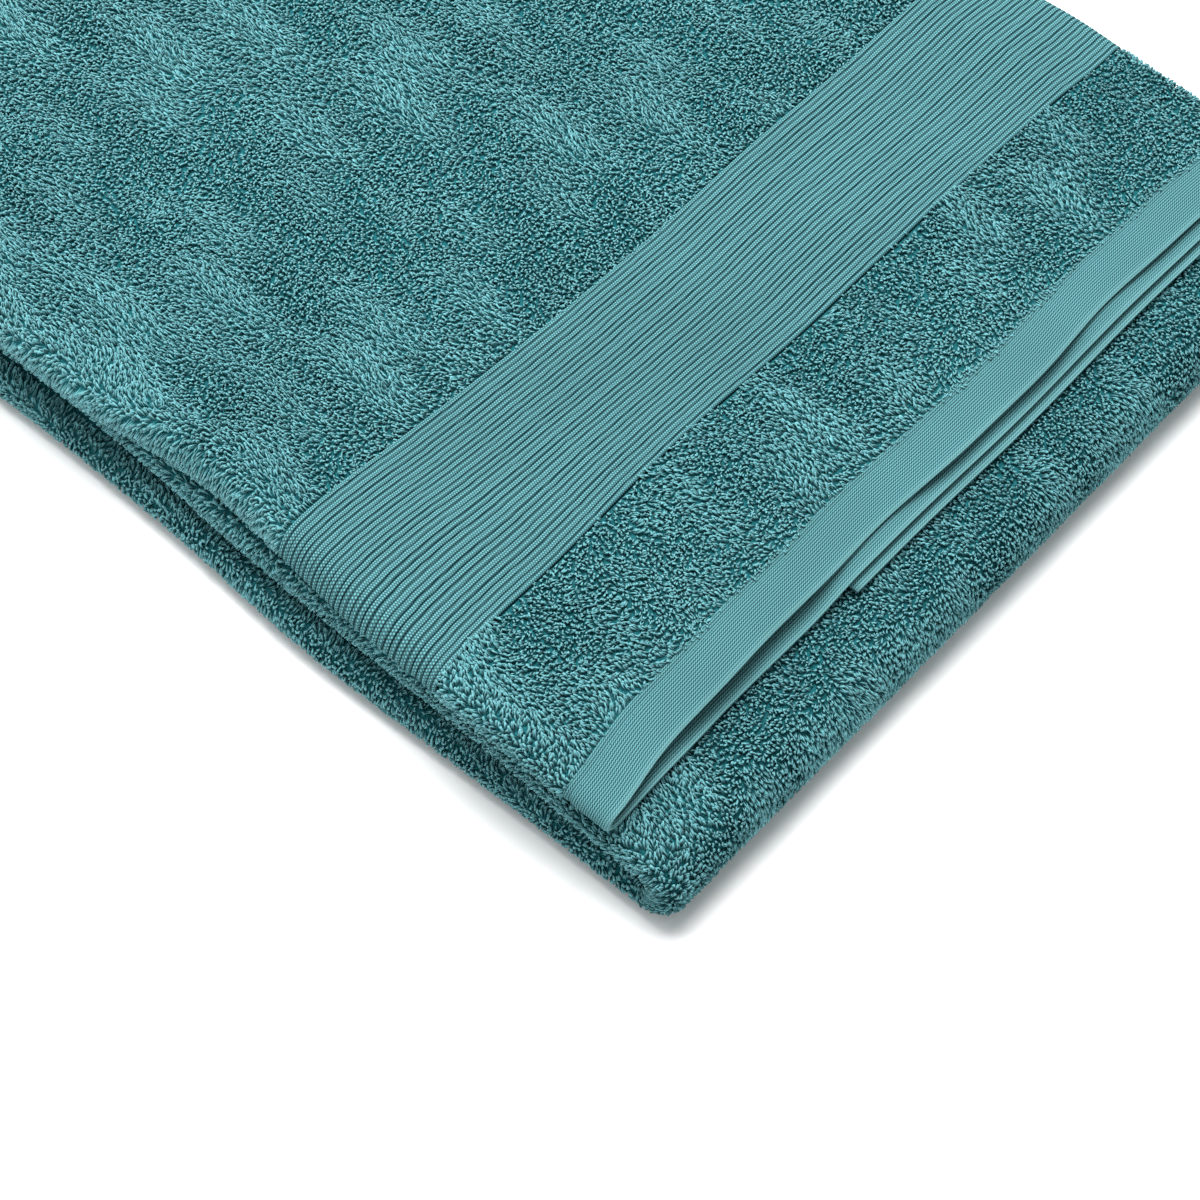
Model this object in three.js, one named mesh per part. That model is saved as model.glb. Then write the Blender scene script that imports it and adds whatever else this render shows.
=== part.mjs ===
// A cotton terry bath towel, folded for the shelf. Millimetres, +Z up.
//
// The flat towel is first folded in thirds lengthwise: its middle third is the outer ply, and both
// long edges are turned in behind it, the near flap first and the narrower far flap over it. That
// three-ply strip is then folded in thirds across. Its middle length lies at the bottom. One end is
// turned over it at the front fold, and the other end is turned over both at the back fold.
//
// +X runs along the strip to the front fold, -Y is the near long fold, and the origin is under the
// middle of the folded towel, on the surface that it lies on.

import * as THREE from 'three';
import { mergeVertices } from 'three/addons/utils/BufferGeometryUtils.js';

// The flat towel
const TOWEL_LENGTH = 1400;
const TOWEL_WIDTH = 700;

// What is woven and sewn at each end: a double-turned flat hem, a strip of terry, a ribbed band
const END_HEM_LENGTH = 13;
const END_TERRY_LENGTH = 39;
const BAND_LENGTH = 50;
const SIDE_HEM_WIDTH = 9;

// Thickness of one ply in each of its weaves
const TERRY_THICKNESS = 3.3;
const BAND_THICKNESS = 2;
const END_HEM_THICKNESS = 2.2;
const SIDE_HEM_THICKNESS = 2;

// Lockstitch rows, pressed into the hems
const STITCHING_THICKNESS = 0.2;
const STITCHING_WIDTH = 0.7;
const STITCHING_INSET = 2;

// How it is folded
const FAR_FLAP_SETBACK = 90;    // from the near fold to the far flap's free edge
const NEAR_FLAP_CLEARANCE = 2;  // from the near flap's free edge to where the far fold starts to turn
const TOP_END_SETBACK = 23;     // from the front fold's outermost line back to the top end hem
const MIDDLE_END_SETBACK = 14;  // from where the back fold starts to turn to the middle end hem

// Clearances
const PLY_GAP = 0.4;    // between plies that lie on each other
const JOIN_GAP = 0.3;   // between pieces that join edge to edge, or lie on one another as stitches do

// Divisions of a half turn
const PLY_ARC_DIVISIONS = 4;
const FOLD_ARC_DIVISIONS = 12;

const TERRY_COLOUR = 0x488188;
const BAND_COLOUR = 0x548d94;
const HEM_COLOUR = 0x609aa0;
const STITCHING_COLOUR = 0x346d73;

// Across the strip: depth is measured from the strip's outer face inwards, to each ply's mid-plane
const PLY_PITCH = TERRY_THICKNESS + PLY_GAP;
const OUTER_PLY_DEPTH = TERRY_THICKNESS / 2;
const NEAR_FLAP_DEPTH = OUTER_PLY_DEPTH + PLY_PITCH;
const FAR_FLAP_DEPTH = NEAR_FLAP_DEPTH + PLY_PITCH;
const STRIP_THICKNESS = FAR_FLAP_DEPTH + TERRY_THICKNESS / 2;

const NEAR_FOLD_RADIUS = (NEAR_FLAP_DEPTH - OUTER_PLY_DEPTH) / 2;
const FAR_FOLD_RADIUS = (FAR_FLAP_DEPTH - OUTER_PLY_DEPTH) / 2;
const NEAR_FOLD_REACH = NEAR_FOLD_RADIUS + TERRY_THICKNESS / 2;
const FAR_FOLD_REACH = FAR_FOLD_RADIUS + TERRY_THICKNESS / 2;

// The folded width is what makes the three plies and their two folds use up the towel's width
const LONG_FOLD_CLOTH = Math.PI * (NEAR_FOLD_RADIUS + FAR_FOLD_RADIUS);
const PLY_SHORTFALLS = 2 * (NEAR_FOLD_REACH + FAR_FOLD_REACH) + NEAR_FLAP_CLEARANCE
  + FAR_FOLD_REACH + FAR_FLAP_SETBACK;
const FOLDED_WIDTH = (TOWEL_WIDTH - LONG_FOLD_CLOTH + PLY_SHORTFALLS) / 3;

const NEAR_FOLD_Y = -FOLDED_WIDTH / 2 + NEAR_FOLD_REACH;
const FAR_FOLD_Y = FOLDED_WIDTH / 2 - FAR_FOLD_REACH;
const NEAR_FLAP_EDGE_Y = FAR_FOLD_Y - NEAR_FLAP_CLEARANCE;
const FAR_FLAP_EDGE_Y = -FOLDED_WIDTH / 2 + FAR_FLAP_SETBACK;

// Up the stack: bottom, middle and top sections of the strip
const SECTION_PITCH = STRIP_THICKNESS + PLY_GAP;
const MIDDLE_TOP_Z = SECTION_PITCH + STRIP_THICKNESS;
const STACK_HEIGHT = 2 * SECTION_PITCH + STRIP_THICKNESS;
const FRONT_FOLD_RADIUS = MIDDLE_TOP_Z / 2;
const BACK_FOLD_RADIUS = STACK_HEIGHT / 2;

// Along the strip: the bottom section's length is what makes the sections and their two folds use
// up the towel's length, measured along the middle of the outer ply
const BACK_FOLD_CLOTH = Math.PI * (BACK_FOLD_RADIUS - OUTER_PLY_DEPTH);
const FRONT_FOLD_CLOTH = Math.PI * (FRONT_FOLD_RADIUS - OUTER_PLY_DEPTH);
const TOP_SHORTFALL = TOP_END_SETBACK - FRONT_FOLD_RADIUS;
const BOTTOM_LENGTH = (TOWEL_LENGTH - BACK_FOLD_CLOTH - FRONT_FOLD_CLOTH + TOP_SHORTFALL
  + MIDDLE_END_SETBACK) / 3;
const TOP_LENGTH = BOTTOM_LENGTH - TOP_SHORTFALL;

// Where the strip turns, counted from the free end on top
const BACK_FOLD_START = TOP_LENGTH;
const BACK_FOLD_END = BACK_FOLD_START + BACK_FOLD_CLOTH;
const FRONT_FOLD_START = BACK_FOLD_END + BOTTOM_LENGTH;
const FRONT_FOLD_END = FRONT_FOLD_START + FRONT_FOLD_CLOTH;

const FOLDED_LENGTH = BACK_FOLD_RADIUS + BOTTOM_LENGTH + FRONT_FOLD_RADIUS;
const BACK_FOLD_X = -FOLDED_LENGTH / 2 + BACK_FOLD_RADIUS;
const FRONT_FOLD_X = FOLDED_LENGTH / 2 - FRONT_FOLD_RADIUS;

// Where a point of the strip lies once the strip is folded across
function foldAcross(y, depth, along) {
  if (along <= BACK_FOLD_START) {
    return [BACK_FOLD_X + BACK_FOLD_START - along, y, STACK_HEIGHT - depth];
  }
  if (along < BACK_FOLD_END) {
    const turn = Math.PI * (along - BACK_FOLD_START) / BACK_FOLD_CLOTH;
    const radius = BACK_FOLD_RADIUS - depth;
    return [BACK_FOLD_X - radius * Math.sin(turn), y, BACK_FOLD_RADIUS + radius * Math.cos(turn)];
  }
  if (along <= FRONT_FOLD_START) {
    return [BACK_FOLD_X + along - BACK_FOLD_END, y, depth];
  }
  if (along < FRONT_FOLD_END) {
    const turn = Math.PI * (along - FRONT_FOLD_START) / FRONT_FOLD_CLOTH;
    const radius = FRONT_FOLD_RADIUS - depth;
    return [FRONT_FOLD_X + radius * Math.sin(turn), y, FRONT_FOLD_RADIUS - radius * Math.cos(turn)];
  }
  return [FRONT_FOLD_X - (along - FRONT_FOLD_END), y, MIDDLE_TOP_Z - depth];
}

// The section, in y and depth, of cloth that follows the strip's three plies from the near flap's
// free edge round the near fold, over the outer ply, round the far fold to the far flap's free edge.
// inner and outer are its two faces, measured from the ply's mid-plane towards the outer face.
function threePlySection(inner, outer, edgeTrim) {
  const nearFoldDepth = (OUTER_PLY_DEPTH + NEAR_FLAP_DEPTH) / 2;
  const farFoldDepth = (OUTER_PLY_DEPTH + FAR_FLAP_DEPTH) / 2;
  const quarter = Math.PI / 2;
  const section = new THREE.Shape();
  section.moveTo(NEAR_FLAP_EDGE_Y - edgeTrim, NEAR_FLAP_DEPTH + outer);
  section.absarc(NEAR_FOLD_Y, nearFoldDepth, NEAR_FOLD_RADIUS + outer, quarter, 3 * quarter, false);
  section.absarc(FAR_FOLD_Y, farFoldDepth, FAR_FOLD_RADIUS + outer, -quarter, quarter, false);
  section.lineTo(FAR_FLAP_EDGE_Y + edgeTrim, FAR_FLAP_DEPTH + outer);
  section.lineTo(FAR_FLAP_EDGE_Y + edgeTrim, FAR_FLAP_DEPTH + inner);
  section.absarc(FAR_FOLD_Y, farFoldDepth, FAR_FOLD_RADIUS + inner, quarter, -quarter, true);
  section.absarc(NEAR_FOLD_Y, nearFoldDepth, NEAR_FOLD_RADIUS + inner, 3 * quarter, quarter, true);
  section.lineTo(NEAR_FLAP_EDGE_Y - edgeTrim, NEAR_FLAP_DEPTH + inner);
  return section;
}

// A rectangular section in y and depth, for what runs along a flap's free edge
function edgeSection(fromY, toY, fromDepth, toDepth) {
  const section = new THREE.Shape();
  section.moveTo(fromY, fromDepth);
  section.lineTo(toY, fromDepth);
  section.lineTo(toY, toDepth);
  section.lineTo(fromY, toDepth);
  return section;
}

// Places along the strip at which a run needs a ring of points: its two ends, and the steps of a
// fold that it goes round
function stationsOf(from, to) {
  const inAFold = (from >= BACK_FOLD_START && to <= BACK_FOLD_END)
    || (from >= FRONT_FOLD_START && to <= FRONT_FOLD_END);
  const steps = inAFold ? FOLD_ARC_DIVISIONS : 1;
  return Array.from({ length: steps + 1 }, (_, step) => from + (to - from) * step / steps);
}

// One solid: a section run along the strip between two places, and folded with it
function folded(name, section, from, to, colour) {
  const stations = stationsOf(from, to);
  const steps = stations.length - 1;
  const geometry = new THREE.ExtrudeGeometry(section, {
    depth: steps, steps, curveSegments: PLY_ARC_DIVISIONS, bevelEnabled: false,
  });
  geometry.deleteAttribute('uv');
  geometry.deleteAttribute('normal');
  const position = geometry.attributes.position;
  for (let i = 0; i < position.count; i += 1) {
    const along = stations[Math.round(position.getZ(i))];
    position.setXYZ(i, ...foldAcross(position.getX(i), position.getY(i), along));
  }
  const solid = mergeVertices(geometry, 1e-4);
  solid.computeVertexNormals();
  const material = new THREE.MeshStandardMaterial({ color: colour, roughness: 0.95, metalness: 0 });
  const mesh = new THREE.Mesh(solid, material);
  mesh.name = name;
  return mesh;
}

// Terry loops on both faces of the cloth
function terry(name, from, to) {
  const half = TERRY_THICKNESS / 2;
  const section = threePlySection(-half, half, SIDE_HEM_WIDTH + JOIN_GAP);
  return folded(name, section, from, to, TERRY_COLOUR);
}

// The band woven in crosswise ribs, without loops
function ribbedBand(name, from, to) {
  const half = BAND_THICKNESS / 2;
  const section = threePlySection(-half, half, SIDE_HEM_WIDTH + JOIN_GAP);
  return folded(name, section, from, to, BAND_COLOUR);
}

// The flat-woven end, turned in twice, which takes in the ends of the side hems
function endHem(name, from, to) {
  const half = END_HEM_THICKNESS / 2;
  return folded(name, threePlySection(-half, half, 0), from, to, HEM_COLOUR);
}

// The row of stitches that holds an end hem, on the outer face of all three plies
function endStitching(name, from, to) {
  const inner = END_HEM_THICKNESS / 2 + JOIN_GAP;
  const section = threePlySection(inner, inner + STITCHING_THICKNESS, SIDE_HEM_WIDTH);
  return folded(name, section, from, to, STITCHING_COLOUR);
}

// Both flaps' free edges, turned in twice, each with its row of stitches
function sideHems(prefix, from, to) {
  const flaps = [
    { flap: 'near_flap', edge: NEAR_FLAP_EDGE_Y, inwards: -1, depth: NEAR_FLAP_DEPTH },
    { flap: 'far_flap', edge: FAR_FLAP_EDGE_Y, inwards: 1, depth: FAR_FLAP_DEPTH },
  ];
  const half = SIDE_HEM_THICKNESS / 2;
  return flaps.flatMap(({ flap, edge, inwards, depth }) => {
    const hemEnd = edge + inwards * SIDE_HEM_WIDTH;
    const stitching = hemEnd - inwards * STITCHING_INSET;
    const stitchingDepth = depth + half + JOIN_GAP;
    return [
      folded(`${prefix}_side_hem_${flap}`,
        edgeSection(Math.min(edge, hemEnd), Math.max(edge, hemEnd), depth - half, depth + half),
        from, to, HEM_COLOUR),
      folded(`${prefix}_side_stitching_${flap}`,
        edgeSection(stitching - STITCHING_WIDTH / 2, stitching + STITCHING_WIDTH / 2,
          stitchingDepth, stitchingDepth + STITCHING_THICKNESS),
        from, to, STITCHING_COLOUR),
    ];
  });
}

// One end of the towel, from its free edge in: hem, terry strip, ribbed band, and the terry field
// that runs on to the fold. direction is 1 for the end on top and -1 for the end inside.
function towelEnd(prefix, freeEdge, foldEdge, direction) {
  const at = (distance) => freeEdge + direction * distance;
  const run = (make, name, near, far) => make(
    `${prefix}_${name}`, Math.min(at(near), at(far)), Math.max(at(near), at(far)));
  const hemEnd = END_HEM_LENGTH;
  const stripEnd = hemEnd + END_TERRY_LENGTH;
  const bandEnd = stripEnd + BAND_LENGTH;
  const fieldEnd = Math.abs(foldEdge - freeEdge);
  const stitchingMiddle = hemEnd - STITCHING_INSET;
  return [
    run(endHem, 'end_hem', 0, hemEnd),
    run(endStitching, 'end_stitching',
      stitchingMiddle - STITCHING_WIDTH / 2, stitchingMiddle + STITCHING_WIDTH / 2),
    run(terry, 'terry_strip', hemEnd + JOIN_GAP, stripEnd - JOIN_GAP),
    run(ribbedBand, 'ribbed_band', stripEnd, bandEnd),
    run(terry, 'terry_field', bandEnd + JOIN_GAP, fieldEnd - JOIN_GAP),
    ...sideHems(prefix, Math.min(at(hemEnd + JOIN_GAP), at(fieldEnd - JOIN_GAP)),
      Math.max(at(hemEnd + JOIN_GAP), at(fieldEnd - JOIN_GAP))),
  ];
}

// A stretch of plain terry with its side hems, without an end
function towelStretch(prefix, from, to) {
  return [terry(`${prefix}_terry`, from, to), ...sideHems(prefix, from, to)];
}

const towel = new THREE.Group();
towel.add(
  ...towelEnd('top', 0, BACK_FOLD_START, 1),
  ...towelStretch('back_fold', BACK_FOLD_START, BACK_FOLD_END),
  ...towelStretch('bottom', BACK_FOLD_END + JOIN_GAP, FRONT_FOLD_START - JOIN_GAP),
  ...towelStretch('front_fold', FRONT_FOLD_START, FRONT_FOLD_END),
  ...towelEnd('middle', TOWEL_LENGTH, FRONT_FOLD_END, -1),
);

export default towel;
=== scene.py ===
import math

import bpy
import numpy as np
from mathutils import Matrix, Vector


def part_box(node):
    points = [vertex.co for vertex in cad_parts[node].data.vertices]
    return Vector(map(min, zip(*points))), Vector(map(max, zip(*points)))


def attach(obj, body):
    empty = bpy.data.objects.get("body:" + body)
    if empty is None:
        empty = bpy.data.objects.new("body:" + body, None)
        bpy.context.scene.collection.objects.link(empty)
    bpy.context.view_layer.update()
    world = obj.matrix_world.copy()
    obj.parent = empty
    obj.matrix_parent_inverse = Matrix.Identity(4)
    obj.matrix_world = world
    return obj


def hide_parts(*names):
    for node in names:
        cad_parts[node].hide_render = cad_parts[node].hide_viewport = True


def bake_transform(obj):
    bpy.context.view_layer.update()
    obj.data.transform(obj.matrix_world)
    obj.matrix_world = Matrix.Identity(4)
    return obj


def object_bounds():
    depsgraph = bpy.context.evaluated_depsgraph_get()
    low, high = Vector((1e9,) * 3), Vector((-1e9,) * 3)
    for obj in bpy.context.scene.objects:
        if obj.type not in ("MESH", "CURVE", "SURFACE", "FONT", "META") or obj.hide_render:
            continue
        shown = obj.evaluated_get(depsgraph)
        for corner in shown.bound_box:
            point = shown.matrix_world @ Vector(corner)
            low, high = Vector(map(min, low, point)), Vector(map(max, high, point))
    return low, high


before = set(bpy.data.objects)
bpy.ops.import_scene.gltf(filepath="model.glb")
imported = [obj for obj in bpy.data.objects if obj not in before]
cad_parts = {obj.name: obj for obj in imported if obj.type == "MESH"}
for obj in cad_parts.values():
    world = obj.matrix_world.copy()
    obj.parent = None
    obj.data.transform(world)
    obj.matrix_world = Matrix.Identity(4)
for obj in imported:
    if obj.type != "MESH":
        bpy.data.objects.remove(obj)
cad_low, cad_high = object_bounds()

# ---------------------------------------------------------------- the table and the light
# The towel lies on a plain white worktop, which runs on past every edge of the view. It is lit by
# one large soft panel overhead, a weaker one from the left, and an even pale sky.

worktop_mesh = bpy.data.meshes.new("worktop")
worktop_half = 3.0
worktop_drop = 0.0002
worktop_mesh.from_pydata(
    [(x * worktop_half, y * worktop_half, -worktop_drop) for x, y in ((-1, -1), (1, -1), (1, 1), (-1, 1))],
    [], [(0, 1, 2, 3)])
worktop = bpy.data.objects.new("worktop", worktop_mesh)
bpy.context.scene.collection.objects.link(worktop)

worktop_paint = bpy.data.materials.new("worktop_paint")
worktop_paint.use_nodes = True
worktop_shader = worktop_paint.node_tree.nodes["Principled BSDF"]
worktop_shader.inputs["Base Color"].default_value = (0.93, 0.93, 0.93, 1)
worktop_shader.inputs["Roughness"].default_value = 0.8
worktop_shader.inputs["Specular IOR Level"].default_value = 0.1
worktop_mesh.materials.append(worktop_paint)


def soft_panel(name, place, aim, size, watts):
    lamp = bpy.data.lights.new(name, "AREA")
    lamp.shape = "RECTANGLE"
    lamp.size, lamp.size_y = size
    lamp.energy = watts
    holder = bpy.data.objects.new(name, lamp)
    holder.location = place
    holder.rotation_mode = "QUATERNION"
    holder.rotation_quaternion = (Vector(aim) - Vector(place)).to_track_quat("-Z", "Y")
    bpy.context.scene.collection.objects.link(holder)


soft_panel("overhead_panel", place=(-0.25, 0.35, 1.6), aim=(0, 0, 0), size=(1.2, 1.2), watts=54)
soft_panel("left_panel", place=(-1.4, -0.5, 0.9), aim=(0, 0, 0), size=(0.8, 0.8), watts=9)

sky = bpy.data.worlds.new("sky")
sky.use_nodes = True
sky.node_tree.nodes["Background"].inputs["Color"].default_value = (1.0, 1.0, 1.0, 1)
sky.node_tree.nodes["Background"].inputs["Strength"].default_value = 0.55
bpy.context.scene.world = sky
bpy.context.scene.view_settings.view_transform = "Standard"
bpy.context.scene.view_settings.look = "None"

# ---------------------------------------------------------------- the camera
# It looks down on the towel's near front corner from the front right, close enough that the back
# and the far left of the towel run out of the view.

camera_azimuth = math.radians(41.9)
camera_elevation = math.radians(57.2)
camera_distance = 0.6983
camera_aim = Vector((cad_high.x * 0.7487, cad_low.y * 0.680, cad_high.z))
toward_camera = Vector((
    math.sin(camera_azimuth) * math.cos(camera_elevation),
    -math.cos(camera_azimuth) * math.cos(camera_elevation),
    math.sin(camera_elevation)))
lens = bpy.data.cameras.new("camera")
lens.sensor_width = 36.0
lens.lens = 89.5
lens.clip_start = 0.01
camera = bpy.data.objects.new("camera", lens)
camera.location = camera_aim + toward_camera * camera_distance
camera.rotation_mode = "QUATERNION"
camera.rotation_quaternion = (-toward_camera).to_track_quat("-Z", "Y")
bpy.context.scene.collection.objects.link(camera)
bpy.context.scene.camera = camera

# ---------------------------------------------------------------- the towel, cut and folded
# One length of cotton terry, 0.70 m by 1.40 m. Both long edges are turned in behind the middle
# third, and the strip that makes is folded in thirds across: bottom, middle and top sections.

mm = 0.001
back_fold_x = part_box("back_fold_terry")[1].x
front_fold_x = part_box("front_fold_terry")[0].x
strip_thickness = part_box("bottom_terry")[1].z
middle_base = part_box("middle_terry_field")[0].z
middle_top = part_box("middle_terry_field")[1].z
top_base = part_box("top_terry_field")[0].z
stack_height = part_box("top_terry_field")[1].z
near_edge_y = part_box("bottom_side_hem_near_flap")[1].y
far_edge_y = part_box("bottom_side_hem_far_flap")[0].y
far_flap_depth = sum(corner.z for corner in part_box("bottom_side_hem_far_flap")) / 2
near_flap_depth = sum(corner.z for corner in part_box("bottom_side_hem_near_flap")) / 2
half_terry = strip_thickness - far_flap_depth
top_free_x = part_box("top_end_hem")[1].x
middle_free_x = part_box("middle_end_hem")[0].x
hem_length = top_free_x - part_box("top_end_hem")[0].x
strip_end = top_free_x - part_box("top_ribbed_band")[1].x
band_end = top_free_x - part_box("top_ribbed_band")[0].x
side_hem_width = near_edge_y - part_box("bottom_side_hem_near_flap")[0].y

back_radius = stack_height / 2
front_radius = middle_top / 2
back_start = top_free_x - back_fold_x
back_end = back_start + math.pi * (back_radius - half_terry)
front_start = back_end + front_fold_x - back_fold_x
front_end = front_start + math.pi * (front_radius - half_terry)
towel_length = front_end + front_fold_x - middle_free_x


def ease(value, start, end):
    share = np.clip((value - start) / (end - start), 0, 1)
    return share * share * (3 - 2 * share)


turn_points, flap_points, face_points = 25, 400, 300


def strip_section():
    """The cloth's middle line in y and depth, from the near flap's edge to the far flap's."""
    roll = (far_flap_depth - half_terry) / 2
    roll_depth = (far_flap_depth + half_terry) / 2
    near_roll_y = cad_low.y + half_terry + roll
    far_roll_y = cad_high.y - half_terry - roll
    turn = np.linspace(0, math.pi, turn_points)
    near_flap_y = np.linspace(near_edge_y, near_roll_y, flap_points)
    # The near flap lies between the outer ply and the far flap, and steps over to the far flap's
    # depth where that one ends.
    step_over = ease(-near_flap_y, -far_edge_y - 4 * mm, -far_edge_y + 16 * mm)
    near_flap = near_flap_depth + step_over * (far_flap_depth - near_flap_depth)
    outer_y = np.linspace(near_roll_y, far_roll_y, face_points)[1:-1]
    far_flap_y = np.linspace(far_roll_y, far_edge_y, face_points)
    y = np.concatenate([near_flap_y[:-1], near_roll_y - roll * np.sin(turn), outer_y,
                        far_roll_y + roll * np.sin(turn), far_flap_y[1:]])
    depth = np.concatenate([near_flap[:-1], roll_depth + roll * np.cos(turn),
                            np.full(outer_y.shape, half_terry),
                            roll_depth - roll * np.cos(turn),
                            np.full(far_flap_y.shape, far_flap_depth)[1:]])
    run = np.concatenate([[0], np.cumsum(np.hypot(np.diff(y), np.diff(depth)))])
    return run, y, depth


section_u, section_y, section_depth = strip_section()
towel_width = section_u[-1]
along_y = np.gradient(section_y, section_u)
along_depth = np.gradient(section_depth, section_u)


def u_at(y, part):
    """Where the cloth is, counted across it, at a place across the folded strip."""
    first = {"near_flap": 0, "outer": np.argmin(section_y)}[part]
    last = {"near_flap": np.argmin(section_y), "outer": np.argmax(section_y)}[part]
    ys, us = section_y[first:last], section_u[first:last]
    order = np.argsort(ys)
    return float(np.interp(y, ys[order], us[order]))


near_fold_u = u_at(cad_low.y, "outer")
far_fold_u = u_at(cad_high.y, "outer")

# The hem and the ribbed band are thinner than the pile, so the plies get thinner towards the end:
# by how much, at places counted from it.
thinning_place = np.array([0, 13, 20, 32, 44, 55, 95, 112, 135]) * mm
thinning_share = np.array([0.60, 0.66, 0.86, 0.96, 0.97, 0.95, 0.96, 1.0, 1.0])


def wave(x, y, waves):
    """A smooth uneven rise and fall, of a few long waves: size, length, heading and start of each."""
    total = 0
    for size, length, heading, start in waves:
        across = x * math.cos(heading) + y * math.sin(heading)
        total = total + size * np.sin(2 * math.pi * across / length + start)
    return total


def hump(value, middle, reach):
    return np.exp(-((value - middle) / reach) ** 2)


def top_fullness(y, v):
    """How high the top section stands, as a share of what its thickness alone would make."""
    fading = 1 - ease(v, band_end + 70 * mm, back_start - 20 * mm)
    # Its near fold is puffed up, and rolls over at the very edge.
    puffed = ease(v, strip_end - 10 * mm, band_end + 15 * mm) * fading
    ridge = hump(y, cad_low.y + 16 * mm, 18 * mm) * puffed
    inward = np.clip(y - cad_low.y, 0, None)
    rolled = 0.45 * np.exp(-inward / (1.5 * mm)) + 0.12 * (1 - ease(inward, 0, 10 * mm))
    rolled = rolled * ease(v, strip_end - 8 * mm, strip_end + 12 * mm) * fading
    # Its thin end slopes down to the far fold.
    shoulder = ease(y, cad_high.y - 30 * mm, cad_high.y - 3 * mm)
    shoulder = shoulder * (1 - ease(v, band_end, band_end + 60 * mm))
    return 1 + 0.16 * ridge - 0.15 * shoulder - rolled


# Soft bumps in the long edges: each one's size in millimetres, its place along x and its reach.
# Some of the edges also run in a gentle wave, of 17 to 31 radians to the metre.
top_near_bumps = [(4.6, 0.088, 0.034), (1.5, -0.04, 0.06), (-0.6, 0.17, 0.03)]
middle_near_bumps = [(5.5, 0.03, 0.07), (1.6, 0.16, 0.05), (2.0, -0.14, 0.05)]
bottom_near_bumps = [(-1.6, 0.118, 0.03)]
top_far_bumps = [(2.6, 0.16, 0.09), (3.0, 0.152, 0.028)]
edge_reach = 75 * mm


def bumps(x, sizes):
    return sum(size * mm * hump(x, middle, reach) for size, middle, reach in sizes)


def wander(x, y, back_turn, front_turn):
    """How far the long edges stray from straight, since the towel was folded by hand."""
    top_share = 1 - ease(back_turn, 0, math.pi)
    middle_share = ease(front_turn, 0, math.pi)
    bottom_share = 1 - top_share - middle_share
    top_near = bumps(x, top_near_bumps) + 1.3 * mm * (1 - ease(x, 0.155, 0.175))
    middle_near = bumps(x, middle_near_bumps)
    bottom_near = bumps(x, bottom_near_bumps) + mm * (0.8 * np.sin(x * 31) - 1.0)
    top_far = bumps(x, top_far_bumps) + mm * (1.4 * np.sin(x * 21 + 1.6) + 0.8 * ease(x, 0.06, 0.11))
    middle_far = 2.0 * mm * np.sin(x * 17 + 3)
    bottom_far = -1.2 * mm * np.sin(x * 24)
    near = ease(-y, -cad_low.y - edge_reach, -cad_low.y)
    far = ease(y, cad_high.y - edge_reach, cad_high.y)
    return (near * (top_share * top_near + middle_share * middle_near + bottom_share * bottom_near)
            + far * (top_share * top_far + middle_share * middle_far + bottom_share * bottom_far))


# The slack waves across the free ends: each one's size, length and start.
slack_waves = [(2.2, 0.105, 0.4), (0.9, 0.043, 2.0)]
slack_reach = 95 * mm


def end_slack(u, v, y):
    """How far the cloth near its free ends lies out along the towel, and how far it is lifted."""
    at_end = 1 - ease(np.minimum(v, towel_length - v), 0, slack_reach)
    near_flap = ease(near_fold_u - u, 0, 40 * mm)
    far_flap = ease(u, far_fold_u, far_fold_u + 20 * mm)
    outer_ply = (1 - near_flap) * (1 - far_flap)
    slack = sum(size * np.sin(2 * math.pi * y / length + start) for size, length, start in slack_waves)
    # The corner and the two turned-in flaps reach out past the rest of the outer ply.
    corner = hump(y, cad_low.y, 24 * mm)
    reached = 0.4 * slack * outer_ply - 2.5 + 5.6 * corner + 3.4 * near_flap + 5.6 * far_flap
    outward = np.where(v < towel_length / 2, 1.0, -1.0) * at_end * reached * mm
    # The top's ribbed band is drawn back where it comes to the near fold.
    drawn = ease(v, strip_end, strip_end + 32 * mm) * (1 - ease(v, band_end + 10 * mm, band_end + 90 * mm))
    outward = outward - 4.4 * mm * drawn * ease(-y, -cad_low.y - 105 * mm, -cad_low.y - 20 * mm)
    between = ease(y, cad_low.y + 8 * mm, cad_low.y + 60 * mm)
    between = between * (1 - ease(y, cad_high.y - 50 * mm, cad_high.y))
    return outward, at_end * outer_ply * between * (0.9 + 0.5 * slack) * mm


lie_waves = [(0.022, 0.118, 0.4, 0.3), (0.018, 0.083, 1.9, 2.1), (0.012, 0.049, 2.7, 4.0),
             (0.010, 0.064, 1.1, 5.2)]


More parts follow.
